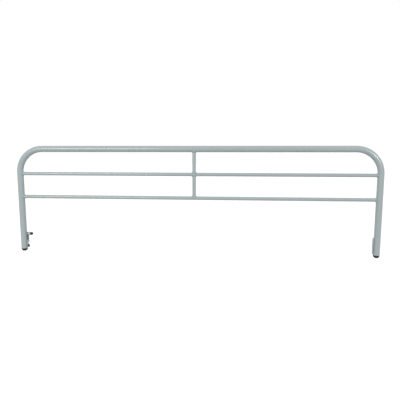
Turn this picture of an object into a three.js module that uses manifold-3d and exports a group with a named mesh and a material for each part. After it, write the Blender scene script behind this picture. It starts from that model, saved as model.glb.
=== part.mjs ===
// Folding bed guard rail.
// A bent steel tube with two cross bars hinges on two brackets that screw to the side of a bed.
// A spring-loaded pin on the left bracket locks the left leg upright.
//
// Millimetres, +Z up. +X runs along the rail, +Y goes into the bed, so the rail is seen from -Y.
// The origin is on the back face of the left bracket, in line with the left leg.
import * as THREE from 'three';
import { mergeVertices } from 'three/addons/utils/BufferGeometryUtils.js';
import Module from 'manifold-3d';

const wasm = await Module();
wasm.setup();

// Rail
const railLength = 1450;
const tubeDiameter = 25;
const tubeWall = 1.5;
const bendRadius = 95;
const barDiameter = 14;
const barWall = 1.2;
const windowHeight = 80;
const railRise = 400;
const footDrop = 10;
const weldSize = 2.2;

// End plugs in the feet
const plugHeight = 12;
const plugRimHeight = 1.6;
const plugRimInset = 0.3;
const plugInsertDepth = 4.5;
const plugInsertWall = 1.8;

// Brackets
const bracketSheet = 2;
const bracketBend = 4;
const webHeight = 36;
const webLift = 11.5;
const webInnerWidth = 6;
const footRoom = 0.7;
const earFront = 4.5;
const earBack = 5;
const earEye = 6.5;
const screwHole = 5.5;
const screwSink = 8.5;
const screwSpacing = 22;
const bufferDiameter = 11;
const bufferRim = 1.2;

// Pivots
const pivotDiameter = 5;
const bushFlange = 0.5;
const bushFlangeDiameter = 12;
const bushWall = 1.2;
const sleeveWall = 1.6;
const washerDiameter = 10;
const washerThickness = 0.8;
const nutAcrossFlats = 8;
const nutHeight = 2.7;
const capWall = 0.7;
const capCrown = 0.9;
const pinHeadDiameter = 8;
const pinHeadHeight = 0.8;

// Lock
const lockRise = 4;
const lockPinDiameter = 6;
const lockBite = 3;
const lockPull = 0.8;
const noseChamfer = 1;
const lockPlateSheet = 1.6;
const lockPlateEye = 6.8;
const lockPlateWidth = 7.4;
const lockPlateDrop = 24;
const rivetDiameter = 4;
const rivetHeadDiameter = 6.4;
const rivetHeadHeight = 1.3;
const rivetTailHeight = 0.5;
const rivetSpacing = 11;
const rivetMargin = 2.2;
const barrelDiameter = 13;
const barrelBore = 10.4;
const barrelLength = 11.7;
const barrelEndWall = 1.8;
const collarThickness = 1.2;
const neckDiameter = 7.6;
const knobLength = 6.2;
const knobDiameter = 12;
const knobRim = 2;
const knobGrip = 3.2;
const springWire = 0.7;
const springTurns = 3;

// Clearances
const seatGap = 0.3;
const runningGap = 0.25;
const cutOverrun = 2;

// Facets
const tubeSides = 28;
const barSides = 20;
const nutSides = 6;
const smallSides = 20;
const bendSteps = 14;
const cornerSteps = 3;
const weldSteps = 3;
const domeSteps = 5;
const springStepsPerTurn = 8;
const springSides = 5;

// Sizes that follow from the ones above
const tubeRadius = tubeDiameter / 2;
const barRadius = barDiameter / 2;
const legSpacing = railLength - tubeDiameter;
const railMiddle = legSpacing / 2;
const footReach = footDrop + seatGap + plugHeight;
const standOff = footReach + footRoom;
const pivotZ = -(webHeight / 2 + webLift);
const railTopZ = pivotZ + railRise;
const footZ = pivotZ - footDrop;
const upperBarZ = railTopZ - tubeRadius - windowHeight - barRadius;
const lowerBarZ = upperBarZ - barDiameter - windowHeight;
const webTop = webHeight / 2;
const lockZ = webTop + lockRise;

// Places measured from a leg's axis towards the middle of the rail
const bushStart = tubeRadius + seatGap;
const earStart = bushStart + bushFlange + seatGap;
const earEnd = earStart + bracketSheet;
const onEar = earEnd + seatGap;
const nutStart = onEar + washerThickness + seatGap;
const lockPlateEnd = onEar + lockPlateSheet;
const barrelStart = lockPlateEnd + seatGap;
const barrelEnd = barrelStart + barrelLength;
const barrelFloor = barrelEnd - barrelEndWall;
const noseTip = tubeRadius + seatGap;
const collarStart = barrelStart + seatGap + lockBite;
const collarEnd = collarStart + collarThickness;
const knobStart = barrelEnd + seatGap + lockBite;
const knobEnd = knobStart + knobLength;

// Each leg: where it stands, and which way along X its inner side faces
const leftLeg = { x: 0, inward: 1 };
const rightLeg = { x: legSpacing, inward: -1 };

// A closed triangle mesh as a solid that can be joined and cut
function toSolid(geometry) {
  const bare = geometry.clone();
  bare.deleteAttribute('normal');
  bare.deleteAttribute('uv');
  const merged = mergeVertices(bare);
  const mesh = new wasm.Mesh({
    numProp: 3,
    vertProperties: new Float32Array(merged.attributes.position.array),
    triVerts: new Uint32Array(merged.index.array),
  });
  return new wasm.Manifold(mesh);
}

function toGeometry(solid) {
  const mesh = solid.getMesh();
  const geometry = new THREE.BufferGeometry();
  geometry.setAttribute('position', new THREE.BufferAttribute(new Float32Array(mesh.vertProperties), 3));
  geometry.setIndex(new THREE.BufferAttribute(new Uint32Array(mesh.triVerts), 1));
  geometry.computeVertexNormals();
  return geometry;
}

// A round profile of [radius, height] pairs, turned about an axis along Z
function turned(profile, sides) {
  return new THREE.LatheGeometry(profile.map(([r, h]) => new THREE.Vector2(r, h)), sides);
}

// The same profile about an axis along X through a leg: heights become distances inward from the leg
function turnedOnLeg(leg, z, profile, sides) {
  const geometry = turned(profile, sides);
  geometry.rotateZ(-leg.inward * Math.PI / 2);
  geometry.translate(leg.x, -standOff, z);
  return geometry;
}

// LatheGeometry turns about Y, so upright pieces are stood up
function turnedUpright(x, y, profile, sides) {
  const geometry = turned(profile, sides);
  geometry.rotateX(Math.PI / 2);
  geometry.translate(x, y, 0);
  return geometry;
}

function rodProfile(radius, start, end) {
  return [[0, start], [radius, start], [radius, end], [0, end]];
}

function ringProfile(inner, outer, start, end) {
  return [[inner, start], [outer, start], [outer, end], [inner, end], [inner, start]];
}

function rodOnLeg(leg, z, radius, start, end, sides) {
  return toSolid(turnedOnLeg(leg, z, rodProfile(radius, start, end), sides));
}

function uprightRod(x, y, radius, bottom, top, sides) {
  return toSolid(turnedUpright(x, y, rodProfile(radius, bottom, top), sides));
}

// A rod along X at the rail's plane
function levelRod(z, radius, start, end, sides) {
  return rodOnLeg(leftLeg, z, radius, start, end, sides);
}

// The centre line of the bent tube, with stations only where it starts, bends and ends
class RailPath extends THREE.Curve {
  constructor() {
    super();
    this.stations = [];
    this.addStation(0, footZ, 0, 1);
    this.addBend(bendRadius, Math.PI, Math.PI / 2);
    this.addBend(legSpacing - bendRadius, Math.PI / 2, 0);
    this.addStation(legSpacing, footZ, 0, -1);
  }

  addStation(x, z, tangentX, tangentZ) {
    const point = new THREE.Vector3(x, -standOff, z);
    const tangent = new THREE.Vector3(tangentX, 0, tangentZ);
    this.stations.push({ point, tangent });
  }

  addBend(centreX, fromAngle, toAngle) {
    for (let i = 0; i <= bendSteps; i++) {
      const angle = fromAngle + (toAngle - fromAngle) * i / bendSteps;
      const x = centreX + bendRadius * Math.cos(angle);
      const z = railTopZ - bendRadius + bendRadius * Math.sin(angle);
      this.addStation(x, z, Math.sin(angle), -Math.cos(angle));
    }
  }

  station(t) {
    return this.stations[Math.round(t * (this.stations.length - 1))];
  }

  getPoint(t) {
    return this.station(t).point.clone();
  }

  getTangent(t) {
    return this.station(t).tangent.clone();
  }

  // The stations are read one by one, not at equal distances
  getUtoTmapping(u) {
    return u;
  }
}

function circleShape(radius, sides) {
  const points = [];
  for (let i = 0; i < sides; i++) {
    const angle = 2 * Math.PI * i / sides;
    points.push(new THREE.Vector2(radius * Math.cos(angle), radius * Math.sin(angle)));
  }
  return new THREE.Shape(points);
}

function railTube() {
  const path = new RailPath();
  const section = circleShape(tubeRadius, tubeSides);
  section.holes.push(circleShape(tubeRadius - tubeWall, tubeSides));
  const steps = path.stations.length - 1;
  let tube = toSolid(new THREE.ExtrudeGeometry(section, { steps, extrudePath: path }));
  const pivotHole = pivotDiameter / 2 + seatGap;
  for (const leg of [leftLeg, rightLeg]) {
    const reach = tubeRadius + cutOverrun;
    tube = tube.subtract(rodOnLeg(leg, pivotZ, pivotHole, -reach, reach, smallSides));
  }
  const lockHole = lockPinDiameter / 2 + seatGap;
  tube = tube.subtract(rodOnLeg(leftLeg, lockZ, lockHole, 0, tubeRadius + cutOverrun, smallSides));
  return toGeometry(tube);
}

// A weld bead in the corner between a thin bar and the rod it meets, rounded in steps.
// Each step is a collar round the bar, kept only where it is close to the rod.
function weldBead(barCollar, seatCollar, seatRadius) {
  const collars = [];
  for (let i = 0; i < weldSteps; i++) {
    const angle = Math.PI / 2 * (i + 1 / 2) / weldSteps;
    const collar = barCollar(barRadius + weldSize * Math.cos(angle));
    collars.push(collar.intersect(seatCollar(seatRadius + weldSize * Math.sin(angle))));
  }
  return collars.reduce((bead, collar) => bead.add(collar));
}

// A cross bar between the legs, hollow, with its ends cut to the round of the tube
function crossBar(z) {
  let bar = levelRod(z, barRadius, 0, legSpacing, barSides);
  const bottom = z - tubeRadius;
  const top = z + tubeRadius;
  for (const leg of [leftLeg, rightLeg]) {
    const barCollar = (radius) => rodOnLeg(leg, z, radius, seatGap, tubeDiameter, barSides);
    const seatCollar = (radius) => uprightRod(leg.x, -standOff, radius, bottom, top, tubeSides);
    bar = bar.add(weldBead(barCollar, seatCollar, tubeRadius));
  }
  for (const leg of [leftLeg, rightLeg]) {
    bar = bar.subtract(uprightRod(leg.x, -standOff, tubeRadius + seatGap, bottom, top, tubeSides));
  }
  bar = bar.subtract(levelRod(z, barRadius - barWall, 0, legSpacing, barSides));
  return toGeometry(bar);
}

// The weld bead of an upright post on a level rod, above it or below it
function postBead(seatZ, seatRadius, up) {
  const ends = [seatZ + up * seatGap, seatZ + up * tubeDiameter];
  const bottom = Math.min(...ends);
  const top = Math.max(...ends);
  const barCollar = (radius) => uprightRod(railMiddle, -standOff, radius, bottom, top, barSides);
  const reach = [railMiddle - tubeRadius, railMiddle + tubeRadius];
  const seatCollar = (radius) => levelRod(seatZ, radius, ...reach, tubeSides);
  return weldBead(barCollar, seatCollar, seatRadius);
}

// A short post in the middle, hollow, cut to the round of what it meets above and below
function post(bottomZ, bottomRadius, topZ, topRadius) {
  let rod = uprightRod(railMiddle, -standOff, barRadius, bottomZ, topZ, barSides);
  rod = rod.add(postBead(bottomZ, bottomRadius, 1)).add(postBead(topZ, topRadius, -1));
  rod = rod.subtract(levelRod(bottomZ, bottomRadius + seatGap, 0, legSpacing, tubeSides));
  rod = rod.subtract(levelRod(topZ, topRadius + seatGap, 0, legSpacing, tubeSides));
  rod = rod.subtract(uprightRod(railMiddle, -standOff, barRadius - barWall, bottomZ, topZ, barSides));
  return toGeometry(rod);
}

// The black plug in a foot: a dome below the tube's end and a hollow insert up inside it
function endPlug(leg) {
  const top = footZ - seatGap;
  const rim = tubeRadius - plugRimInset;
  const domeTop = top - plugRimHeight;
  const domeHeight = plugHeight - plugRimHeight;
  const insert = tubeRadius - tubeWall - seatGap;
  const insertTop = footZ + plugInsertDepth;
  const profile = [[0, top - plugHeight]];
  for (let i = 1; i <= domeSteps; i++) {
    const angle = Math.PI / 2 * i / domeSteps;
    profile.push([rim * Math.sin(angle), domeTop - domeHeight * Math.cos(angle)]);
  }
  profile.push([rim, top], [insert, top], [insert, insertTop]);
  profile.push([insert - plugInsertWall, insertTop], [insert - plugInsertWall, top], [0, top]);
  return turnedUpright(leg.x, -standOff, profile, tubeSides);
}

// A strip of sheet along a bent line in plan: its middle line is rounded at the bends
function stripShape(corners) {
  const middle = [];
  corners.forEach((corner, i) => {
    if (i === 0 || i === corners.length - 1) {
      middle.push(corner);
      return;
    }
    const before = corners[i - 1].clone().sub(corner).normalize();
    const after = corners[i + 1].clone().sub(corner).normalize();
    const reach = bracketBend / Math.tan(before.angleTo(after) / 2);
    const start = corner.clone().addScaledVector(before, reach);
    const end = corner.clone().addScaledVector(after, reach);
    const bend = new THREE.QuadraticBezierCurve(start, corner, end);
    middle.push(...bend.getPoints(cornerSteps));
  });
  const sideOf = (sign) => middle.map((point, i) => {
    const from = middle[Math.max(i - 1, 0)];
    const to = middle[Math.min(i + 1, middle.length - 1)];
    const along = to.clone().sub(from).normalize();
    return new THREE.Vector2(-along.y, along.x).multiplyScalar(sign * bracketSheet / 2).add(point);
  });
  return new THREE.Shape([...sideOf(1), ...sideOf(-1).reverse()]);
}

// The upright part of a bracket: the ear beside the leg, the cheek behind it and the web on the bed
function bracketBody(leg) {
  const earMiddle = earStart + bracketSheet / 2;
  const webMiddle = -bracketSheet / 2;
  const plan = [
    [earMiddle, -standOff - earFront],
    [earMiddle, -standOff + earBack],
    [webInnerWidth + bracketBend, webMiddle],
    [-tubeRadius, webMiddle],
  ];
  const corners = plan.map(([a, y]) => new THREE.Vector2(leg.x + leg.inward * a, y));
  const settings = { depth: webHeight, bevelEnabled: false };
  const geometry = new THREE.ExtrudeGeometry(stripShape(corners), settings);
  geometry.translate(0, 0, -webHeight / 2);
  return toSolid(geometry);
}

// A flat outline of [depth, z] points from the leg's axis
function flatShape(outline) {
  return new THREE.Shape(outline.map(([y, z]) => new THREE.Vector2(y, z)));
}

// Such an outline as a plate square to X between two distances from the leg's axis
function plateOnLeg(leg, shape, start, end) {
  const settings = { depth: end - start, bevelEnabled: false, curveSegments: smallSides / 2 };
  const geometry = new THREE.ExtrudeGeometry(shape, settings);
  geometry.rotateX(Math.PI / 2);
  geometry.rotateZ(Math.PI / 2);
  const from = leg.inward > 0 ? start : -end;
  geometry.translate(leg.x + from, -standOff, 0);
  return toSolid(geometry);
}

// The ear above or below the web, rounded about the lock pin or the pivot
function earEyeShape(eyeZ) {
  const above = eyeZ > 0;
  const webEnd = above ? webTop - cutOverrun : cutOverrun - webTop;
  const shape = new THREE.Shape();
  shape.moveTo(-earFront, webEnd);
  shape.lineTo(-earEye, eyeZ);
  shape.absarc(0, eyeZ, earEye, Math.PI, above ? 0 : 2 * Math.PI, above);
  shape.lineTo(earBack, webEnd);
  shape.closePath();
  return shape;
}

function earHole(leg, z, radius) {
  return rodOnLeg(leg, z, radius, earStart - cutOverrun, earEnd + cutOverrun, smallSides);
}

// A screw hole in the web, sunk for the screw's head
function screwCut(leg, z) {
  const front = -bracketSheet;
  const sinkBottom = front + (screwSink - screwHole) / 2;
  const profile = [
    [0, front - cutOverrun],
    [screwSink / 2, front - cutOverrun],
    [screwSink / 2, front],
    [screwHole / 2, sinkBottom],
    [screwHole / 2, cutOverrun],
    [0, cutOverrun],
  ];
  const geometry = turned(profile, smallSides);
  geometry.translate(leg.x, 0, z);
  return toSolid(geometry);
}

// Both brackets have the same outline; only the left one is drilled for the lock
function bracket(leg, lockHoles) {
  let solid = bracketBody(leg);
  for (const eyeZ of [pivotZ, lockZ]) {
    solid = solid.add(plateOnLeg(leg, earEyeShape(eyeZ), earStart, earEnd));
  }
  const bushHole = pivotDiameter / 2 + runningGap + bushWall + seatGap;
  const cuts = [earHole(leg, pivotZ, bushHole), ...lockHoles];
  for (const side of [-1, 1]) {
    cuts.push(screwCut(leg, side * screwSpacing / 2));
  }
  return toGeometry(cuts.reduce((rest, cut) => rest.subtract(cut), solid));
}

function lockHoles() {
  const pinHole = earHole(leftLeg, lockZ, lockPinDiameter / 2 + seatGap);
  const rivetHoles = rivetHeights().map((z) => earHole(leftLeg, z, rivetDiameter / 2 + seatGap));
  return [pinHole, ...rivetHoles];
}

// The rubber buffer on the web that the upright leg rests against
function buffer(leg) {
  const front = -standOff + tubeRadius + seatGap;
  const back = -bracketSheet - seatGap;
  const radius = bufferDiameter / 2;
  const profile = [
    [0, front],
    [radius - bufferRim, front],
    [radius, front + bufferRim],
    [radius, back],
    [0, back],
  ];
  const geometry = turned(profile, smallSides);
  geometry.translate(leg.x, 0, 0);
  return geometry;
}

// The flanged bush that carries a leg in its bracket
function pivotBush(leg) {
  const bore = pivotDiameter / 2 + runningGap;
  const barrel = bore + bushWall;
  const flange = bushFlangeDiameter / 2;
  const flangeEnd = bushStart + bushFlange;
  const profile = [
    [bore, bushStart],
    [flange, bushStart],
    [flange, flangeEnd],
    [barrel, flangeEnd],
    [barrel, earEnd],
    [bore, earEnd],
    [bore, bushStart],
  ];
  return turnedOnLeg(leg, pivotZ, profile, smallSides);
}

// The sleeve inside a leg that keeps the tube from being crushed at the pivot
function pivotSleeve(leg) {
  const bore = pivotDiameter / 2 + seatGap;
  const half = innerHalfChord(bore + sleeveWall) - seatGap;
  return turnedOnLeg(leg, pivotZ, ringProfile(bore, bore + sleeveWall, -half, half), smallSides);
}

// How far from the leg's axis a rod of this radius, laid across the tube, meets the inner wall
function innerHalfChord(radius) {
  const inner = (tubeRadius - tubeWall) * Math.cos(Math.PI / tubeSides);
  return Math.sqrt(inner * inner - radius * radius);
}

// The left pivot is a stud, flush with the outside of the leg, that ends in the nut
function leftPivotStud() {
  const profile = rodProfile(pivotDiameter / 2, seatGap - tubeRadius, nutStart + nutHeight);
  return turnedOnLeg(leftLeg, pivotZ, profile, smallSides);
}

// The right pivot is a pin with a low head on the inner side
function rightPivotPin() {
  const radius = pivotDiameter / 2;
  const head = pinHeadDiameter / 2;
  const end = onEar + pinHeadHeight;
  const shoulder = end - pinHeadHeight / 2;
  const tail = seatGap - tubeRadius;
  const profile = [
    [0, tail],
    [radius, tail],
    [radius, onEar],
    [head, onEar],
    [head, shoulder],
    [head - pinHeadHeight / 2, end],
    [0, end],
  ];
  return turnedOnLeg(rightLeg, pivotZ, profile, smallSides);
}

function pivotWasher() {
  const bore = pivotDiameter / 2 + seatGap;
  const profile = ringProfile(bore, washerDiameter / 2, onEar, onEar + washerThickness);
  return turnedOnLeg(leftLeg, pivotZ, profile, smallSides);
}

function nutShape(acrossFlats) {
  const corner = acrossFlats / 2 / Math.cos(Math.PI / nutSides);
  return flatShape(circleShape(corner, nutSides).getPoints().map((point) => [point.x, point.y + pivotZ]));
}

function pivotNut() {
  const end = nutStart + nutHeight;
  const radius = pivotDiameter / 2 + seatGap;
  const bore = rodOnLeg(leftLeg, pivotZ, radius, nutStart - cutOverrun, end + cutOverrun, smallSides);
  return toGeometry(plateOnLeg(leftLeg, nutShape(nutAcrossFlats), nutStart, end).subtract(bore));
}

// The black cap pressed over the nut
function nutCap() {
  const floor = nutStart + nutHeight + seatGap;
  const end = floor + capWall + capCrown;
  const radius = (nutAcrossFlats / 2 + seatGap) / Math.cos(Math.PI / nutSides) + capWall;
  const profile = [[0, nutStart], [radius, nutStart], [radius, floor]];
  for (let i = 1; i < domeSteps; i++) {
    const angle = Math.PI / 2 * i / domeSteps;
    profile.push([radius * Math.cos(angle), floor + (end - floor) * Math.sin(angle)]);
  }
  profile.push([0, end]);
  const shell = toSolid(turnedOnLeg(leftLeg, pivotZ, profile, smallSides));
  const pocket = plateOnLeg(leftLeg, nutShape(nutAcrossFlats + 2 * seatGap), nutStart - cutOverrun, floor);
  return toGeometry(shell.subtract(pocket));
}

// The two rivets of the lock plate sit one above the other below the lock pin
function rivetHeights() {
  const lower = lockZ - lockPlateDrop + rivetMargin;
  return [lower, lower + rivetSpacing];
}

// The black plate of the lock: an eye round the pin and a tongue down the ear
function lockPlate() {
  const shape = new THREE.Shape();
  const half = lockPlateWidth / 2;
  const start = Math.acos(half / lockPlateEye);
  const bottom = lockZ - lockPlateDrop;
  shape.absarc(0, lockZ, lockPlateEye, -start, Math.PI + start, false);
  shape.lineTo(-half, bottom);
  shape.absarc(0, bottom, half, Math.PI, 2 * Math.PI, false);
  shape.closePath();
  let plate = plateOnLeg(leftLeg, shape, onEar, lockPlateEnd);
  const reach = [onEar - cutOverrun, lockPlateEnd + cutOverrun];
  const pinHole = lockPinDiameter / 2 + seatGap;
  plate = plate.subtract(rodOnLeg(leftLeg, lockZ, pinHole, ...reach, smallSides));
  const rivetHole = rivetDiameter / 2 + seatGap;
  for (const z of rivetHeights()) {
    plate = plate.subtract(rodOnLeg(leftLeg, z, rivetHole, ...reach, smallSides));
  }
  return toGeometry(plate);
}

function lockRivet(z) {
  const shank = rivetDiameter / 2;
  const head = rivetHeadDiameter / 2;
  const headStart = lockPlateEnd + seatGap;
  const tailEnd = earStart - seatGap;
  const tailStart = tailEnd - rivetTailHeight;
  const profile = [
    [0, tailStart],
    [head, tailStart],
    [head, tailEnd],
    [shank, tailEnd],
    [shank, headStart],
    [head, headStart],
  ];
  for (let i = 1; i < domeSteps; i++) {
    const angle = Math.PI / 2 * i / domeSteps;
    profile.push([head * Math.cos(angle), headStart + rivetHeadHeight * Math.sin(angle)]);
  }
  profile.push([0, headStart + rivetHeadHeight]);
  return turnedOnLeg(leftLeg, z, profile, smallSides);
}

// The fixed barrel round the lock pin, open towards the leg.
// Its end wall has a hole for the knob's neck.
function lockBarrel() {
  const outer = barrelDiameter / 2;
  const bore = barrelBore / 2;
  const neckHole = neckDiameter / 2 + seatGap;
  const profile = [
    [bore, barrelStart],
    [outer, barrelStart],
    [outer, barrelEnd],
    [neckHole, barrelEnd],
    [neckHole, barrelFloor],
    [bore, barrelFloor],
    [bore, barrelStart],
  ];
  return turnedOnLeg(leftLeg, lockZ, profile, barSides);
}

// The lock pin, drawn back at rest so that its nose just clears the leg
function lockPin() {
  const radius = lockPinDiameter / 2;
  const end = knobStart + knobGrip;
  const profile = [
    [0, noseTip],
    [radius - noseChamfer, noseTip],
    [radius, noseTip + noseChamfer],
    [radius, end],
    [0, end],
  ];
  return turnedOnLeg(leftLeg, lockZ, profile, smallSides);
}

function lockCollar() {
  const bore = lockPinDiameter / 2 + seatGap;
  const outer = barrelBore / 2 - seatGap;
  return turnedOnLeg(leftLeg, lockZ, ringProfile(bore, outer, collarStart, collarEnd), smallSides);
}

// The black knob: a neck that slides in the barrel's end wall and a domed head
function lockKnob() {
  const bore = lockPinDiameter / 2 + seatGap;
  const neck = neckDiameter / 2;
  const head = knobDiameter / 2;
  const neckStart = barrelFloor - lockPull;
  const boreEnd = knobStart + knobGrip + seatGap;
  const rimEnd = knobStart + knobRim;
  const profile = [
    [bore, neckStart],
    [neck, neckStart],
    [neck, knobStart],
    [head, knobStart],
    [head, rimEnd],
  ];
  for (let i = 1; i < domeSteps; i++) {
    const angle = Math.PI / 2 * i / domeSteps;
    profile.push([head * Math.cos(angle), rimEnd + (knobEnd - rimEnd) * Math.sin(angle)]);
  }
  profile.push([0, knobEnd], [0, boreEnd], [bore, boreEnd], [bore, neckStart]);
  return turnedOnLeg(leftLeg, lockZ, profile, barSides);
}

// The points of the lock spring's middle line, from the collar to the barrel's end wall
function springPoints() {
  const start = collarEnd + seatGap + springWire / 2;
  const end = barrelFloor - seatGap - springWire / 2;
  const meanDiameter = (neckDiameter + barrelBore) / 2;
  const radius = meanDiameter / 2;
  const count = springTurns * springStepsPerTurn;
  const points = [];
  for (let i = 0; i <= count; i++) {
    const angle = 2 * Math.PI * i / springStepsPerTurn;
    const along = start + (end - start) * i / count;
    const y = -standOff + radius * Math.cos(angle);
    points.push(new THREE.Vector3(along, y, lockZ + radius * Math.sin(angle)));
  }
  return points;
}

// One unbroken tube of five sides along the spring's line
function lockSpring() {
  const points = springPoints();
  const positions = [];
  const faces = [];
  const side = new THREE.Vector3(1, 0, 0);
  points.forEach((point, i) => {
    const outward = new THREE.Vector3(0, point.y + standOff, point.z - lockZ).normalize();
    for (let k = 0; k < springSides; k++) {
      const angle = 2 * Math.PI * k / springSides;
      const rim = point.clone();
      rim.addScaledVector(outward, springWire / 2 * Math.cos(angle));
      rim.addScaledVector(side, springWire / 2 * Math.sin(angle));
      positions.push(rim.x, rim.y, rim.z);
      if (i > 0) {
        const next = (k + 1) % springSides;
        const a = (i - 1) * springSides;
        const b = i * springSides;
        faces.push(a + k, b + k, b + next, a + k, b + next, a + next);
      }
    }
  });
  const last = (points.length - 1) * springSides;
  for (let k = 1; k < springSides - 1; k++) {
    faces.push(0, k, k + 1);
    faces.push(last, last + k + 1, last + k);
  }
  const geometry = new THREE.BufferGeometry();
  geometry.setAttribute('position', new THREE.Float32BufferAttribute(positions, 3));
  geometry.setIndex(faces);
  geometry.computeVertexNormals();
  return geometry;
}

function springLeastGap() {
  const points = springPoints();
  let least = Infinity;
  for (let i = 0; i < points.length; i++) {
    for (let j = i + springStepsPerTurn - 1; j < points.length; j++) {
      least = Math.min(least, points[i].distanceTo(points[j]) - springWire);
    }
  }
  return least;
}

// Finishes
function greyPaint() {
  return new THREE.MeshStandardMaterial({ color: 0xa6adad, roughness: 0.35, metalness: 0 });
}

function blackPlastic() {
  return new THREE.MeshStandardMaterial({ color: 0x17191a, roughness: 0.45, metalness: 0 });
}

function blackRubber() {
  return new THREE.MeshStandardMaterial({ color: 0x202122, roughness: 0.85, metalness: 0 });
}

function blackSteel() {
  return new THREE.MeshStandardMaterial({ color: 0x1c1e1f, roughness: 0.5, metalness: 0.3 });
}

function zincSteel() {
  return new THREE.MeshStandardMaterial({ color: 0xb4b6b5, roughness: 0.35, metalness: 1 });
}

function whiteNylon() {
  return new THREE.MeshStandardMaterial({ color: 0xd9d8d0, roughness: 0.55, metalness: 0 });
}

const rail = new THREE.Group();

function addPiece(name, geometry, material) {
  const mesh = new THREE.Mesh(geometry, material);
  mesh.name = name;
  rail.add(mesh);
}

addPiece('rail_tube', railTube(), greyPaint());
addPiece('upper_bar', crossBar(upperBarZ), greyPaint());
addPiece('lower_bar', crossBar(lowerBarZ), greyPaint());
addPiece('upper_post', post(upperBarZ, barRadius, railTopZ, tubeRadius), greyPaint());
addPiece('lower_post', post(lowerBarZ, barRadius, upperBarZ, barRadius), greyPaint());
addPiece('left_bracket', bracket(leftLeg, lockHoles()), greyPaint());
addPiece('right_bracket', bracket(rightLeg, []), greyPaint());
for (const [side, leg] of [['left', leftLeg], ['right', rightLeg]]) {
  addPiece(`${side}_end_plug`, endPlug(leg), blackPlastic());
  addPiece(`${side}_buffer`, buffer(leg), blackRubber());
  addPiece(`${side}_pivot_bush`, pivotBush(leg), whiteNylon());
  addPiece(`${side}_pivot_sleeve`, pivotSleeve(leg), zincSteel());
}
addPiece('left_pivot_stud', leftPivotStud(), zincSteel());
addPiece('right_pivot_pin', rightPivotPin(), greyPaint());
addPiece('left_pivot_washer', pivotWasher(), zincSteel());
addPiece('left_pivot_nut', pivotNut(), zincSteel());
addPiece('left_nut_cap', nutCap(), blackPlastic());
addPiece('lock_plate', lockPlate(), blackSteel());
rivetHeights().forEach((z, i) => addPiece(`lock_rivet_${i + 1}`, lockRivet(z), blackSteel()));
addPiece('lock_barrel', lockBarrel(), greyPaint());
addPiece('lock_pin', lockPin(), zincSteel());
addPiece('lock_collar', lockCollar(), zincSteel());
addPiece('lock_spring', lockSpring(), zincSteel());
addPiece('lock_knob', lockKnob(), blackPlastic());

console.log(`least gap between turns of the lock spring: ${springLeastGap().toFixed(2)} mm`);

export default rail;
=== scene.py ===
"""A folding bed guard rail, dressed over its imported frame.

Metres, +Z up. +X runs along the rail, +Y goes into the bed, and the rail is seen from -Y.
Places come from the boxes of the frame's nodes, and sizes that a user would change are properties.
"""

import math

import bmesh
import bpy
from bpy.props import FloatProperty, FloatVectorProperty, IntProperty, PointerProperty
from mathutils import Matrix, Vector


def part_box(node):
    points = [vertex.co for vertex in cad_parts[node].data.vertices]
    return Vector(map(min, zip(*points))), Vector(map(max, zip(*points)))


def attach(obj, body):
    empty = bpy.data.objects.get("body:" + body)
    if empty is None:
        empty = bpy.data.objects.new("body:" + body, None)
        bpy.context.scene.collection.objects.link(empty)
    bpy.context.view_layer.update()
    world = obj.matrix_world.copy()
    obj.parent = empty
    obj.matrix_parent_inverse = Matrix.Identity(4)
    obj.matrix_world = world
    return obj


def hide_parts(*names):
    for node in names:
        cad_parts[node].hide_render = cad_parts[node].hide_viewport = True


bl_info = {
    "name": "Folding bed guard rail",
    "version": (1, 0, 0),
    "blender": (4, 5, 0),
    "location": "View3D > Sidebar > Guard Rail",
    "description": "Builds the dressed guard rail round its packed frame",
    "category": "Add Mesh",
}

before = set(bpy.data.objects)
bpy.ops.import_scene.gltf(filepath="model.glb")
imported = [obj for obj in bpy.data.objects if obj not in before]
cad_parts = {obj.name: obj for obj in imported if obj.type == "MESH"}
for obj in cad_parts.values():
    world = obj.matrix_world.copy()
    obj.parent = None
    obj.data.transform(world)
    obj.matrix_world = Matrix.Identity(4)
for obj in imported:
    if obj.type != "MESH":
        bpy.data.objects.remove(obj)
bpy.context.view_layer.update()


def middle(node):
    low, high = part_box(node)
    return (low + high) / 2


def span(node):
    """Where a round piece along X starts and ends, and its radius."""
    low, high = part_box(node)
    return low.x, high.x, (high.z - low.z) / 2


# Places read from the frame
TUBE_LOW, TUBE_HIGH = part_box("rail_tube")
TUBE_RADIUS = (TUBE_HIGH.y - TUBE_LOW.y) / 2
LEG_X = (TUBE_LOW.x + TUBE_RADIUS, TUBE_HIGH.x - TUBE_RADIUS)
LEG_STEP = Vector((LEG_X[1] - LEG_X[0], 0.0, 0.0))
MIDDLE_X = (LEG_X[0] + LEG_X[1]) / 2
AXIS_Y = (TUBE_LOW.y + TUBE_HIGH.y) / 2
FOOT_Z = TUBE_LOW.z
TOP_Z = TUBE_HIGH.z - TUBE_RADIUS
UPPER_BAR_Z = middle("upper_bar").z
LOWER_BAR_Z = middle("lower_bar").z
PIVOT_Z = middle("left_pivot_stud").z
LOCK_Z = middle("lock_pin").z
PIVOT = (0.0, AXIS_Y, PIVOT_Z)
LOCK = (0.0, AXIS_Y, LOCK_Z)
BRACKET_LOW, BRACKET_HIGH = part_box("left_bracket")
RIVETS = ("lock_rivet_1", "lock_rivet_2")

# Room between pieces that fit together, and how far welded ends sink into their seats
SEAT_GAP = 0.0003
SINK = 0.0004

# How finely round shapes and edges are drawn
TINY = 1e-6
ROUND_SIDES = 64
SMALL_SIDES = 40
WIRE_SIDES = 12
EDGE_STEPS = 3
BEND_STEPS = 8
DOME_STEPS = 12
CORNER_SHARE = 0.45
SHARP_ANGLE = math.radians(32)
BEVEL_ANGLE = math.radians(38)

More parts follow.
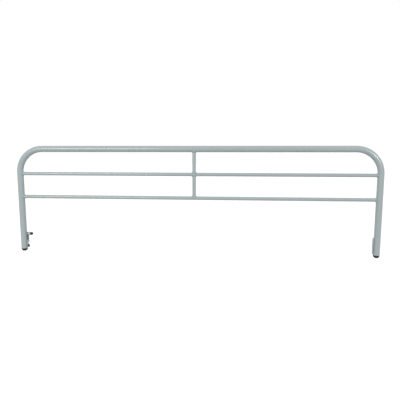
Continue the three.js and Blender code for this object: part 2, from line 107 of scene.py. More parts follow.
# How deep the relief of each finish is
ORANGE_PEEL = 0.000015
PAINT_SWELL = 0.00004
DUST_NIB = 0.00005
MOULD_GRAIN = 0.00004
SCUFF_DEPTH = 0.00005
RUBBER_PIT = 0.00008
LACQUER_GRAIN = 0.00005
HAIRLINE = 0.00003
TOOL_MARK = 0.00003
NYLON_GRAIN = 0.00004


# User settings


class RailSizes(bpy.types.PropertyGroup):
    bend_radius: FloatProperty(
        name="Bend radius", description="Radius of the tube's two bends, at its centre line",
        default=0.095, min=0.03, unit="LENGTH")
    tube_wall: FloatProperty(
        name="Tube wall", description="Wall of the bent tube", default=0.0015, min=0.0005, unit="LENGTH")
    bar_radius: FloatProperty(
        name="Bar radius", description="Radius of the cross bars and posts",
        default=0.007, min=0.002, unit="LENGTH")
    bead_radius: FloatProperty(
        name="Weld bead", description="Radius of the weld beads", default=0.0019, min=0.0002, unit="LENGTH")
    bead_ripples: IntProperty(
        name="Weld ripples", description="Ripples in each weld bead", default=17, min=0)
    cut_edge: FloatProperty(
        name="Cut edge", description="Rounding of cut and drilled edges",
        default=0.0003, min=0.0, unit="LENGTH")


class BracketSizes(bpy.types.PropertyGroup):
    sheet: FloatProperty(
        name="Sheet", description="Thickness of the pressed brackets",
        default=0.002, min=0.001, unit="LENGTH")
    bend_reach: FloatProperty(
        name="Bend", description="Inner reach of the brackets' bends",
        default=0.004, min=0.001, unit="LENGTH")
    web_height: FloatProperty(
        name="Web height", description="Height of the plate on the bed",
        default=0.036, min=0.03, unit="LENGTH")
    screw_spacing: FloatProperty(
        name="Screw spacing", description="Distance between a bracket's two screw holes",
        default=0.022, min=0.01, unit="LENGTH")
    corner: FloatProperty(
        name="Web corner", description="Rounding of the free corners of the plate on the bed",
        default=0.003, min=0.0, unit="LENGTH")


class FinishColours(bpy.types.PropertyGroup):
    paint: FloatVectorProperty(
        name="Paint", description="Light grey paint of the steel", subtype="COLOR",
        size=3, min=0.0, max=1.0, default=(0.362, 0.42, 0.429))
    plastic: FloatVectorProperty(
        name="Plastic", description="Black plastic of plugs, cap and knob", subtype="COLOR",
        size=3, min=0.0, max=1.0, default=(0.012, 0.013, 0.014))
    rubber: FloatVectorProperty(
        name="Rubber", description="Black rubber of the buffers", subtype="COLOR",
        size=3, min=0.0, max=1.0, default=(0.02, 0.02, 0.021))
    blackened: FloatVectorProperty(
        name="Black steel", description="Blackened steel of the lock's plate", subtype="COLOR",
        size=3, min=0.0, max=1.0, default=(0.015, 0.016, 0.017))
    zinc: FloatVectorProperty(
        name="Zinc", description="Zinc plating of the small steel pieces", subtype="COLOR",
        size=3, min=0.0, max=1.0, default=(0.58, 0.6, 0.6))
    nylon: FloatVectorProperty(
        name="Nylon", description="White nylon of the bushes", subtype="COLOR",
        size=3, min=0.0, max=1.0, default=(0.72, 0.71, 0.66))


class StageSettings(bpy.types.PropertyGroup):
    camera_place: FloatVectorProperty(
        name="Camera", description="Where the camera stands", subtype="TRANSLATION", unit="LENGTH",
        size=3, default=(0.8617, -1.5796, 0.3745))
    camera_turn: FloatProperty(
        name="Turn", description="The camera's turn towards the left leg",
        subtype="ANGLE", default=math.radians(4.626))
    camera_tilt: FloatProperty(
        name="Tilt", description="The camera's tilt below the horizon",
        subtype="ANGLE", default=math.radians(7.471))
    lens: FloatProperty(
        name="Lens", description="Focal length on a 36 mm frame, in millimetres", default=35.716, min=10.0)
    floor_drop: FloatProperty(
        name="Floor", description="How far the floor lies below the pivots", default=0.5, unit="LENGTH")
    key_power: FloatProperty(
        name="Key light", description="Power of the wide soft box at the left, behind the camera",
        default=27.0, min=0.0, unit="POWER")
    side_power: FloatProperty(
        name="Side light", description="Power of the small soft box at the right, behind the camera",
        default=25.0, min=0.0, unit="POWER")
    ambient: FloatProperty(
        name="Ambient", description="Strength of the light from all round", default=0.74, min=0.0)
    floor_glow: FloatProperty(
        name="Floor glow", description="White that the floor adds where it is seen", default=0.82, min=0.0)


class GuardRailSettings(bpy.types.PropertyGroup):
    rail: PointerProperty(name="Rail", description="Sizes of the rail", type=RailSizes)
    bracket: PointerProperty(name="Brackets", description="Sizes of the brackets", type=BracketSizes)
    colours: PointerProperty(name="Colours", description="Colours of the finishes", type=FinishColours)
    stage: PointerProperty(name="Stage", description="Camera, lamps and floor", type=StageSettings)


def settings():
    return bpy.context.scene.guard_rail


# Node trees


class Link:
    """An output socket that takes part in sums. Each sum adds a Math node to its tree."""

    def __init__(self, graph, socket):
        self.graph = graph
        self.socket = socket

    def maths(self, operation, first, second=0.0):
        return self.graph.node("ShaderNodeMath", {"operation": operation}, {0: first, 1: second})

    def __add__(self, other):
        return self.maths("ADD", self, other)

    __radd__ = __add__

    def __sub__(self, other):
        return self.maths("SUBTRACT", self, other)

    def __rsub__(self, other):
        return self.maths("SUBTRACT", other, self)

    def __mul__(self, other):
        return self.maths("MULTIPLY", self, other)

    __rmul__ = __mul__

    def __truediv__(self, other):
        return self.maths("DIVIDE", self, other)

    def root(self):
        return self.maths("SQRT", self)

    def sine(self):
        return self.maths("SINE", self)

    def at_least(self, least):
        return self.maths("MAXIMUM", self, least)


class Graph:
    """A node tree, with one method that adds a node, sets it and links it."""

    def __init__(self, tree):
        self.tree = tree

    def node(self, kind, options=None, values=None, out=0):
        node = self.tree.nodes.new(kind)
        for key, value in (options or {}).items():
            if key == "stops":
                self.set_stops(node.color_ramp, value)
            else:
                setattr(node, key, value)
        for key, value in (values or {}).items():
            self.feed(node.inputs[key], value)
        return Link(self, node.outputs[out]) if node.outputs else node

    def feed(self, socket, value):
        for one in value if isinstance(value, tuple) and isinstance(value[0], Link) else (value,):
            if isinstance(one, Link):
                self.tree.links.new(one.socket, socket)
            else:
                socket.default_value = one

    @staticmethod
    def set_stops(ramp, stops):
        while len(ramp.elements) < len(stops):
            ramp.elements.new(1.0)
        for element, (place, colour) in zip(ramp.elements, stops):
            element.position = place
            element.color = colour


def grey(value):
    return (value, value, value, 1.0)


# Materials


class Finish(Graph):
    """A material that starts from an object's own coordinates and ends in one shader."""

    def __init__(self, name, **uniform):
        self.material = bpy.data.materials.new(name)
        self.material.use_nodes = True
        super().__init__(self.material.node_tree)
        self.shader = self.tree.nodes["Principled BSDF"]
        for key, value in uniform.items():
            self.shader.inputs[key.replace("_", " ")].default_value = value
        self.place = self.node("ShaderNodeTexCoord", out="Object")

    def noise(self, scale, detail=2.0, roughness=0.5, stretch=(1.0, 1.0, 1.0)):
        place = self.node("ShaderNodeMapping", values={"Vector": self.place, "Scale": stretch})
        values = {"Vector": place, "Scale": scale, "Detail": detail, "Roughness": roughness}
        return self.node("ShaderNodeTexNoise", values=values)

    def cells(self, scale):
        values = {"Vector": self.place, "Scale": scale}
        colour = self.node("ShaderNodeTexVoronoi", values=values, out="Color")
        return self.node("ShaderNodeSeparateColor", values={0: colour})

    def ramp(self, value, start, end):
        stops = [(start, grey(0.0)), (end, grey(1.0))]
        return self.node("ShaderNodeValToRGB", {"stops": stops}, {"Fac": value})

    def patches(self, start, end, **noise):
        """1 where the noise is over an end value, and 0 where it is under a start value."""
        return self.ramp(self.noise(**noise), start, end)

    def relief(self, depth, below=None, **noise):
        return self.bump(self.noise(**noise), depth, below)

    def blend(self, share, first, second):
        options = {"data_type": "RGBA"}
        return self.node("ShaderNodeMix", options, {0: share, 6: first, 7: second}, out=2)

    def bump(self, height, depth, below=None):
        values = {"Height": height, "Distance": depth}
        if below:
            values["Normal"] = below
        return self.node("ShaderNodeBump", values=values)

    def surface(self, **links):
        for key, value in links.items():
            self.feed(self.shader.inputs[key.replace("_", " ")], value)
        return self.material


def shade(colour, factor):
    return (*[channel * factor for channel in colour], 1.0)


def once(build):
    """A finish is built when it is first asked for, and its function has the name of its slot."""

    def found():
        name = build.__name__ + "_finish"
        return bpy.data.materials.get(name) or build(name)

    found.slot = build.__name__
    return found


@once
def grey_paint(name):
    """Semi-gloss paint over steel: faint orange peel and clouds, a few dust nibs and rubbed spots."""
    finish = Finish(name, IOR=1.5, Specular_IOR_Level=0.8)
    colour = settings().colours.paint
    clouds = finish.noise(scale=9.0, detail=4.0)
    rubbed = finish.patches(0.66, 0.74, scale=38.0, detail=6.0, roughness=0.7)
    nibs = finish.patches(0.74, 0.8, scale=420.0, detail=1.0)
    base = finish.blend(clouds, shade(colour, 0.96), shade(colour, 1.04))
    base = finish.blend(rubbed * 0.35, base, shade(colour, 0.82))
    base = finish.blend(nibs * 0.3, base, shade(colour, 0.75))
    peel = finish.relief(ORANGE_PEEL, scale=560.0, detail=1.0)
    swell = finish.relief(PAINT_SWELL, below=peel, scale=60.0)
    nib_bump = finish.bump(nibs, DUST_NIB, below=swell)
    rough = 0.2 + clouds * 0.04 + rubbed * 0.12
    return finish.surface(Base_Color=base, Roughness=rough, Normal=nib_bump)


@once
def black_plastic(name):
    """Moulded black plastic: fine grain, and scuffs that are duller and a little paler."""
    finish = Finish(name, IOR=1.46, Specular_IOR_Level=0.22)
    colour = settings().colours.plastic
    scuffs = finish.patches(0.58, 0.75, scale=140.0, detail=6.0, roughness=0.72)
    scratches = finish.patches(0.62, 0.7, scale=300.0, detail=3.0, stretch=(1.0, 1.0, 0.12))
    worn = scuffs * 0.6 + scratches * 0.3
    base = finish.blend(worn, shade(colour, 1.0), shade(colour, 2.6))
    grain = finish.relief(MOULD_GRAIN, scale=1900.0)
    dents = finish.bump(scuffs, SCUFF_DEPTH, below=grain)
    return finish.surface(Base_Color=base, Roughness=0.34 + worn * 0.3, Normal=dents)


@once
def black_rubber(name):
    """Dull rubber: a matte, finely pitted skin with grey dust in its pits."""
    finish = Finish(name, IOR=1.5)
    colour = settings().colours.rubber
    dust = finish.patches(0.45, 0.75, scale=90.0, detail=5.0, roughness=0.65)
    base = finish.blend(dust * 0.5, shade(colour, 1.0), shade(colour, 3.0))
    pits = finish.relief(RUBBER_PIT, scale=1300.0, detail=3.0)
    return finish.surface(Base_Color=base, Roughness=0.78 + dust * 0.15, Normal=pits)


@once
def black_steel(name):
    """Black lacquer over steel: satin, with pale hairline scratches."""
    finish = Finish(name, IOR=1.5, Specular_IOR_Level=0.6)
    colour = settings().colours.blackened
    scratches = finish.patches(0.63, 0.69, scale=240.0, detail=4.0, stretch=(0.2, 1.0, 1.0))
    clouds = finish.noise(scale=70.0, detail=4.0)
    base = finish.blend(scratches * 0.45, shade(colour, 1.0), shade(colour, 7.0))
    grain = finish.relief(LACQUER_GRAIN, scale=900.0)
    lines = finish.bump(1.0 - scratches, HAIRLINE, below=grain)
    return finish.surface(Base_Color=base, Roughness=0.38 + clouds * 0.12, Normal=lines)


@once
def zinc_steel(name):
    """Zinc plating: bright grey metal with small crystals, faint tool marks and dull blooms."""
    finish = Finish(name, Metallic=1.0)
    colour = settings().colours.zinc
    crystals = finish.cells(scale=700.0)
    bloom = finish.patches(0.45, 0.8, scale=160.0, detail=5.0, roughness=0.6)
    base = finish.blend(crystals, shade(colour, 0.9), shade(colour, 1.08))
    base = finish.blend(bloom * 0.5, base, shade(colour, 0.7))
    marks = finish.relief(TOOL_MARK, scale=1500.0, stretch=(4.0, 1.0, 1.0))
    rough = 0.26 + crystals * 0.08 + bloom * 0.2
    return finish.surface(Base_Color=base, Roughness=rough, Normal=marks)


@once
def white_nylon(name):
    """Moulded nylon: matte off-white, slightly yellowed, with a fine grain and grey rubbed dirt."""
    finish = Finish(name, IOR=1.53)
    colour = settings().colours.nylon
    dirt = finish.patches(0.52, 0.8, scale=210.0, detail=5.0, roughness=0.68)
    base = finish.blend(dirt * 0.4, shade(colour, 1.0), shade(colour, 0.62))
    grain = finish.relief(NYLON_GRAIN, scale=1700.0)
    return finish.surface(Base_Color=base, Roughness=0.46 + dirt * 0.2, Normal=grain)


# Meshes


def add_object(name, data):
    piece = bpy.data.objects.new(name, data)
    bpy.context.scene.collection.objects.link(piece)
    return piece


def plain_mesh(piece):
    """The piece as its modifiers leave it, as a mesh of its own; the modifiers go."""
    shown = piece.evaluated_get(bpy.context.evaluated_depsgraph_get())
    mesh = bpy.data.meshes.new_from_object(shown)
    piece.modifiers.clear()
    piece.data = mesh
    return piece


def bare_mesh(piece):
    """The mesh of a piece that is no longer needed itself."""
    mesh = piece.data
    bpy.data.objects.remove(piece)
    return mesh


def modified(piece, kind, **options):
    modifier = piece.modifiers.new(kind.title(), kind)
    for key, value in options.items():
        setattr(modifier, key, value)
    plain_mesh(piece)


def combined(piece, other, operation):
    """Cuts another closed piece away, joins it or keeps what both share; the other one goes."""
    modified(piece, "BOOLEAN", object=other, operation=operation, solver="EXACT")
    bpy.data.objects.remove(other)


def rounded_edges(piece, width):
    modified(
        piece, "BEVEL", width=width, segments=2, limit_method="ANGLE", angle_limit=BEVEL_ANGLE,
        use_clamp_overlap=True)


def finished(piece, body, finish, *nodes):
    """Shades the piece, gives it its finish and sets it on its body in place of the nodes."""
    mesh = piece.data
    mesh.shade_smooth()
    mesh.set_sharp_from_angle(angle=SHARP_ANGLE)
    mesh.materials.clear()
    mesh.materials.append(finish())
    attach(piece, body)
    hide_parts(*nodes)


def closed_piece(name, bm):
    """A piece of the faces in a bmesh, all turned outwards."""
    bmesh.ops.recalc_face_normals(bm, faces=bm.faces)
    mesh = bpy.data.meshes.new(name)
    bm.to_mesh(mesh)
    bm.free()
    return add_object(name, mesh)


def rounded_corner(before, corner, after, reach, steps):
    """The points of a curve that cuts a corner, from one of its sides to the other."""
    start = corner + (before - corner).normalized() * reach
    end = corner + (after - corner).normalized() * reach
    places = [i / steps for i in range(steps + 1)]
    return [(1 - t) ** 2 * start + 2 * t * (1 - t) * corner + t * t * end for t in places]


def softened(profile, radius):
    """The profile with its corners rounded, except for its two ends."""
    points = [Vector(point) for point in profile]
    result = [points[0]]
    for before, corner, after in zip(points, points[1:], points[2:]):
        room = min((before - corner).length, (after - corner).length) * CORNER_SHARE
        result += rounded_corner(before, corner, after, min(radius, room), EDGE_STEPS)
    return [tuple(point) for point in result + [points[-1]]]


def bent_line(corners, bend_reach):
    """The points of a line whose corners are rounded."""
    line = [corners[0]]
    for before, corner, after in zip(corners, corners[1:], corners[2:]):
        reach = bend_reach / math.tan((before - corner).angle(after - corner) / 2)
        line += rounded_corner(before, corner, after, reach, BEND_STEPS)
    return line + [corners[-1]]


def closed_profile(*corners):
    """A closed profile, cut open at the middle of its last side so that every corner can be rounded."""
    half = tuple((Vector(corners[0]) + Vector(corners[-1])) / 2)
    return [half, *corners, half]


def rod_profile(start, end, radius):
    return [(0.0, start), (radius, start), (radius, end), (0.0, end)]


def ring_profile(bore, start, end, radius):
    return closed_profile((bore, start), (radius, start), (radius, end), (bore, end))


def arc(centre, radius, start, end, steps):
    """Points of a circle between two angles in degrees."""
    points = []
    for i in range(steps + 1):
        angle = math.radians(start + (end - start) * i / steps)
        points.append((centre[0] + radius * math.cos(angle), centre[1] + radius * math.sin(angle)))
    return points


def dome(radius, start, height, steps=DOME_STEPS):
    """Profile points of a dome, from its rim to just short of its crown."""
    angles = [math.pi / 2 * i / steps for i in range(steps)]
    return [(radius * math.cos(angle), start + height * math.sin(angle)) for angle in angles]


def set_along(axis, across, aside, along):
    """A point by its distance along an axis, and across and aside of it."""
    return {
        "X": (along, across, aside),
        "Y": (aside, along, across),
        "Z": (across, aside, along),
    }[axis]


def turned(name, profile, centre=(0.0, 0.0, 0.0), axis="X", sides=SMALL_SIDES, edge=0.0):
    """A round piece: a profile of (radius, distance) pairs, turned about a line along the axis."""
    profile = softened(profile, edge) if edge else profile
    closed = (Vector(profile[0]) - Vector(profile[-1])).length < TINY and profile[0][0] > TINY
    if closed:
        profile = profile[:-1]
    bm = bmesh.new()
    rings = []
    turn = 2 * math.pi / sides
    for radius, along in profile:
        count = sides if radius > TINY else 1
        spokes = [(radius * math.cos(turn * k), radius * math.sin(turn * k)) for k in range(count)]
        points = [Vector(set_along(axis, *spoke, along)) for spoke in spokes]
        rings.append([bm.verts.new(point + Vector(centre)) for point in points])
    pairs = list(zip(rings, rings[1:]))
    if closed:
        pairs.append((rings[-1], rings[0]))
    for first, second in pairs:
        for k in range(sides):
            corners = [first[k % len(first)], first[(k + 1) % len(first)]]
            corners += [second[(k + 1) % len(second)], second[k % len(second)]]
            distinct = list(dict.fromkeys(corners))
            if len(distinct) > 2:
                bm.faces.new(distinct)
    return closed_piece(name, bm)


def prism(name, outline, depth):
    """A flat outline of points in space, drawn out by a vector into a closed solid."""
    bm = bmesh.new()
    face = bm.faces.new([bm.verts.new(point) for point in outline])
    drawn = bmesh.ops.extrude_face_region(bm, geom=[face])
    moved = [item for item in drawn["geom"] if isinstance(item, bmesh.types.BMVert)]
    bmesh.ops.translate(bm, vec=depth, verts=moved)
    return closed_piece(name, bm)


def drill(piece, radius, start, end, height):
    """Drills along X between two places, at a height in line with the legs."""
    cutter = turned("drill", rod_profile(start, end, radius), (0.0, AXIS_Y, height))
    combined(piece, cutter, "DIFFERENCE")


def across_leg(leg):
    """Two places along X, well outside a leg on both sides."""
    return LEG_X[leg] - 2 * TUBE_RADIUS, LEG_X[leg] + 2 * TUBE_RADIUS


def inward(leg, distance):
    """The place along X at a distance from a leg's axis towards the middle of the rail."""
    return LEG_X[0] + distance if leg == 0 else LEG_X[1] - distance


# Geometry trees

PLACE_AND_TURN = [("Place", "Vector", None), ("Turn", "Vector", None)]


def geometry_tree(name, inputs):
    """A new tree with its input and output geometry, named inputs and the graph to build it with."""
    tree = bpy.data.node_groups.new(name, "GeometryNodeTree")
    tree.interface.new_socket("Geometry", in_out="OUTPUT", socket_type="NodeSocketGeometry")
    tree.interface.new_socket("Geometry", in_out="INPUT", socket_type="NodeSocketGeometry")
    for socket_name, kind, default in inputs:
        socket = tree.interface.new_socket(socket_name, in_out="INPUT", socket_type="NodeSocket" + kind)
        if default is not None:
            socket.default_value = default
    tree.interface.new_socket("Material", in_out="INPUT", socket_type="NodeSocketMaterial")
    graph = Graph(tree)
    given = tree.nodes.new("NodeGroupInput")
    sockets = {socket.name: Link(graph, socket) for socket in given.outputs if socket.name}
    return graph, sockets


def circle(graph, sides, radius):
    values = {"Resolution": sides, "Radius": radius}
    return graph.node("GeometryNodeCurvePrimitiveCircle", values=values)


def round_skin(graph, path, sides, radius, swell=1.0, caps=False):
    """The skin of a round bar along a path."""
    section = circle(graph, sides, radius)
    values = {"Curve": path, "Profile Curve": section, "Scale": swell, "Fill Caps": caps}
    return graph.node("GeometryNodeCurveToMesh", values=values)


def placed(graph, geometry, given):
    """The geometry turned and set where the tree's inputs say."""
    values = {"Geometry": geometry, "Translation": given["Place"], "Rotation": given["Turn"]}
    return graph.node("GeometryNodeTransform", values=values)


def end_tree(graph, geometry, sockets):
    """Every tree ends in real geometry with its finish set."""
    real = graph.node("GeometryNodeRealizeInstances", values={0: geometry})
    values = {"Geometry": real, "Material": sockets["Material"]}
    dressed = graph.node("GeometryNodeSetMaterial", values=values)
    graph.node("NodeGroupOutput", values={0: dressed})
    return graph.tree


def grown(name, tree, finish, mesh=None, **values):
    """A piece that a geometry tree makes from named sizes, and from a mesh where it needs one."""
    piece = add_object(name, mesh or bpy.data.meshes.new(name))
    modifier = piece.modifiers.new(tree.name, "NODES")
    modifier.node_group = tree
    values["Material"] = finish()
    for item in tree.interface.items_tree:
        if item.in_out == "INPUT" and item.name in values:
            modifier[item.identifier] = values[item.name]
    return plain_mesh(piece)


def tube_tree():
    """A round tube's outer skin along a line whose corners are bent to a radius."""
    inputs = [
        ("Tube Radius", "Float", TUBE_RADIUS),
        ("Bend Radius", "Float", settings().rail.bend_radius),
        ("Bend Steps", "Int", 32),
        ("Stations", "Int", 260),
        ("Sides", "Int", ROUND_SIDES),
    ]
    graph, given = geometry_tree("bent_tube", inputs)
    line = graph.node("GeometryNodeMeshToCurve", values={0: given["Geometry"]})
    values = {"Curve": line, "Radius": given["Bend Radius"], "Count": given["Bend Steps"]}
    bent = graph.node("GeometryNodeFilletCurve", {"mode": "POLY"}, values)
    even = graph.node("GeometryNodeResampleCurve", values={"Curve": bent, "Count": given["Stations"]})
    return end_tree(graph, round_skin(graph, even, given["Sides"], given["Tube Radius"]), given)


def bead_tree():
    """A weld bead: a ring that follows where a round bar meets a round seat, with ripples along it."""
    inputs = [
        ("Bar Radius", "Float", settings().rail.bar_radius),
        ("Seat Radius", "Float", TUBE_RADIUS),
        ("Bead Radius", "Float", settings().rail.bead_radius),
        ("Ripples", "Int", settings().rail.bead_ripples),
        ("Ripple Share", "Float", 0.05),
        ("Uneven Share", "Float", 0.3),
        ("Uneven Scale", "Float", 160.0),
        ("Steps", "Int", 144),
        *PLACE_AND_TURN,
    ]
    graph, given = geometry_tree("weld_bead", inputs)
    path = circle(graph, given["Steps"], given["Bar Radius"])
    place = graph.node("GeometryNodeInputPosition")
    parts = {axis: graph.node("ShaderNodeSeparateXYZ", values={0: place}, out=axis) for axis in "XY"}
    seat = given["Seat Radius"]
    rise = (seat * seat - parts["Y"] * parts["Y"]).at_least(0.0).root()
    saddle_point = graph.node("ShaderNodeCombineXYZ", values={"X": parts["X"], "Y": parts["Y"], "Z": rise})
    saddle = graph.node("GeometryNodeSetPosition", values={"Geometry": path, "Position": saddle_point})
    angle = graph.node("GeometryNodeInputIndex") * (2 * math.pi) * given["Ripples"] / given["Steps"]
    noise = graph.node("ShaderNodeTexNoise", values={"Vector": place, "Scale": given["Uneven Scale"]})
    swell = 1.0 + angle.sine() * given["Ripple Share"] + (noise - 0.5) * given["Uneven Share"]
    thick = graph.node("GeometryNodeSetCurveRadius", values={"Curve": saddle, "Radius": swell})
    bead = round_skin(graph, thick, WIRE_SIDES, given["Bead Radius"], swell=swell)
    return end_tree(graph, placed(graph, bead, given), given)


def spring_tree():
    """A coil of round wire along its own axis."""
    inputs = [
        ("Coil Radius", "Float", None),
        ("Length", "Float", None),
        ("Turns", "Float", None),
        ("Steps", "Int", 40),
        ("Wire Radius", "Float", None),
        *PLACE_AND_TURN,
    ]
    graph, given = geometry_tree("coil", inputs)
    values = {
        "Resolution": given["Steps"], "Rotations": given["Turns"], "Height": given["Length"],
        "Start Radius": given["Coil Radius"], "End Radius": given["Coil Radius"],
    }
    spiral = graph.node("GeometryNodeCurveSpiral", values=values)
    wire = round_skin(graph, spiral, WIRE_SIDES, given["Wire Radius"], caps=True)
    return end_tree(graph, placed(graph, wire, given), given)


def row_tree():
    """A row of one shape, each turned further about the upright than the one before."""
    inputs = [
        ("Count", "Int", 2),
        ("Start", "Vector", None),
        ("Step", "Vector", None),
        ("Turn", "Float", 0.0),
    ]
    graph, given = geometry_tree("row_of_one_shape", inputs)
    values = {"Count": given["Count"], "Start Location": given["Start"], "Offset": given["Step"]}
    line = graph.node("GeometryNodeMeshLine", values=values)
    turn = graph.node("GeometryNodeInputIndex") * given["Turn"]
    rotation = graph.node("ShaderNodeCombineXYZ", values={"Z": turn})
    values = {"Points": line, "Instance": given["Geometry"], "Rotation": rotation}
    return end_tree(graph, graph.node("GeometryNodeInstanceOnPoints", values=values), given)


def pair_of(name, shape, finish, start, step, turn=0.0):
    """Two pieces of one shape, a step apart, as one piece; the single shape goes."""
    values = {"Count": 2, "Start": Vector(start), "Step": step, "Turn": turn}
    return grown(name, row_tree(), finish, bare_mesh(shape), **values)


# Pieces


class GUARDRAIL_OT_rail_tube(bpy.types.Operator):
    """Bends the main tube and drills its pivot holes and lock hole"""

    bl_idname = "guard_rail.rail_tube"
    bl_label = "Rail tube"

    def execute(self, context):
        corners = [(LEG_X[0], FOOT_Z), (LEG_X[0], TOP_Z), (LEG_X[1], TOP_Z), (LEG_X[1], FOOT_Z)]
        line = bpy.data.meshes.new("rail_tube_dressed")
        line.from_pydata([(x, AXIS_Y, z) for x, z in corners], [(0, 1), (1, 2), (2, 3)], [])
        piece = grown("rail_tube_dressed", tube_tree(), grey_paint, line)
        modified(piece, "SOLIDIFY", thickness=settings().rail.tube_wall, offset=-1.0, use_rim=True)
        hole = span("left_pivot_stud")[2] + SEAT_GAP
        for leg in (0, 1):
            drill(piece, hole, *across_leg(leg), PIVOT_Z)
        drill(piece, span("lock_pin")[2] + SEAT_GAP, LEG_X[0], across_leg(0)[1], LOCK_Z)
        finished(piece, "rail", grey_paint, "rail_tube")
        return {"FINISHED"}


def coped_rod(name, axis, start, end, start_seat, end_seat, centre):
    """A round rod whose ends are cut to the seats that it is welded to, and sunk a little into them."""
    radius = settings().rail.bar_radius
    bm = bmesh.new()
    ends = ([], [])
    for k in range(SMALL_SIDES):
        angle = 2 * math.pi * k / SMALL_SIDES
        aside, across = radius * math.sin(angle), radius * math.cos(angle)
        places = (
            start + math.sqrt(max(start_seat**2 - aside**2, 0.0)) - SINK,
            end - math.sqrt(max(end_seat**2 - aside**2, 0.0)) + SINK,
        )
        for loop, along in zip(ends, places):
            point = {"X": (along, aside, across), "Z": (across, aside, along)}[axis]
            loop.append(bm.verts.new(Vector(point) + Vector(centre)))
    for k in range(SMALL_SIDES):
        after = (k + 1) % SMALL_SIDES
        bm.faces.new([ends[0][k], ends[0][after], ends[1][after], ends[1][k]])
    for loop in ends:
        hub = bm.verts.new(sum((vert.co for vert in loop), Vector()) / len(loop))
        for k in range(SMALL_SIDES):
            bm.faces.new([loop[k], loop[(k + 1) % SMALL_SIDES], hub])
    return closed_piece(name, bm)


class GUARDRAIL_OT_bars(bpy.types.Operator):
    """Makes the two cross bars and the two short posts between them"""

    bl_idname = "guard_rail.bars"
    bl_label = "Cross bars and posts"

    def execute(self, context):
        bar = coped_rod("bar", "X", *LEG_X, TUBE_RADIUS, TUBE_RADIUS, (0.0, AXIS_Y, UPPER_BAR_Z))
        step = Vector((0.0, 0.0, LOWER_BAR_Z - UPPER_BAR_Z))
        bars = pair_of("cross_bars", bar, grey_paint, (0.0, 0.0, 0.0), step)
        finished(bars, "rail", grey_paint, "upper_bar", "lower_bar")
        radius = settings().rail.bar_radius
        posts = {
            "upper_post": (UPPER_BAR_Z, TOP_Z, radius, TUBE_RADIUS),
            "lower_post": (LOWER_BAR_Z, UPPER_BAR_Z, radius, radius),
        }
        for node, ends in posts.items():
            post = coped_rod(node + "_dressed", "Z", *ends, (MIDDLE_X, AXIS_Y, 0.0))
            finished(post, "rail", grey_paint, node)
        return {"FINISHED"}


class GUARDRAIL_OT_weld_beads(bpy.types.Operator):
    """Lays a weld bead round every joint between tube, bars and posts"""

    bl_idname = "guard_rail.weld_beads"
    bl_label = "Weld beads"

    crossing_share = 1.3
    ripple_steps = 3

    def execute(self, context):
        sizes = settings().rail
        left, right, down = math.pi / 2, -math.pi / 2, math.pi
        joints = [
            (LEG_X[0], UPPER_BAR_Z, left, TUBE_RADIUS),
            (LEG_X[1], UPPER_BAR_Z, right, TUBE_RADIUS),
            (LEG_X[0], LOWER_BAR_Z, left, TUBE_RADIUS),
            (LEG_X[1], LOWER_BAR_Z, right, TUBE_RADIUS),
            (MIDDLE_X, TOP_Z, down, TUBE_RADIUS),
            (MIDDLE_X, UPPER_BAR_Z, 0.0, sizes.bar_radius),
            (MIDDLE_X, UPPER_BAR_Z, down, sizes.bar_radius),
            (MIDDLE_X, LOWER_BAR_Z, 0.0, sizes.bar_radius),
        ]
        tree = bead_tree()
        bm = bmesh.new()
        for i, (x, z, turn, seat) in enumerate(joints):
            fuller = self.crossing_share if seat < TUBE_RADIUS else 1.0
            values = {
                "Bar Radius": sizes.bar_radius + SINK, "Seat Radius": seat + SINK,
                "Bead Radius": sizes.bead_radius * fuller,
                "Ripples": sizes.bead_ripples + i % self.ripple_steps,
                "Place": Vector((x, AXIS_Y, z)), "Turn": Vector((0.0, turn, 0.0)),
            }
            bm.from_mesh(bare_mesh(grown("bead", tree, grey_paint, **values)))
        finished(closed_piece("weld_beads", bm), "rail", grey_paint)
        return {"FINISHED"}


class GUARDRAIL_OT_end_plugs(bpy.types.Operator):
    """Moulds the domed plug in each foot"""

    bl_idname = "guard_rail.end_plugs"
    bl_label = "End plugs"

    rim_height = 0.0016
    rim_inset = 0.0003
    insert_wall = 0.0018

    def execute(self, context):
        low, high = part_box("left_end_plug")
        top = FOOT_Z - SEAT_GAP
        rim = TUBE_RADIUS - self.rim_inset
        dome_top = top - self.rim_height
        insert = TUBE_RADIUS - settings().rail.tube_wall - SEAT_GAP
        inner = insert - self.insert_wall
        profile = [(0.0, low.z), *reversed(dome(rim, dome_top, low.z - dome_top))]
        profile += [(rim, top), (insert, top), (insert, high.z), (inner, high.z), (inner, top), (0.0, top)]
        plug = turned("plug", profile, axis="Z", sides=ROUND_SIDES)
        plugs = pair_of("end_plugs", plug, black_plastic, (LEG_X[0], AXIS_Y, 0.0), LEG_STEP)
        rounded_edges(plugs, settings().rail.cut_edge)
        finished(plugs, "rail", black_plastic, "left_end_plug", "right_end_plug")
        return {"FINISHED"}


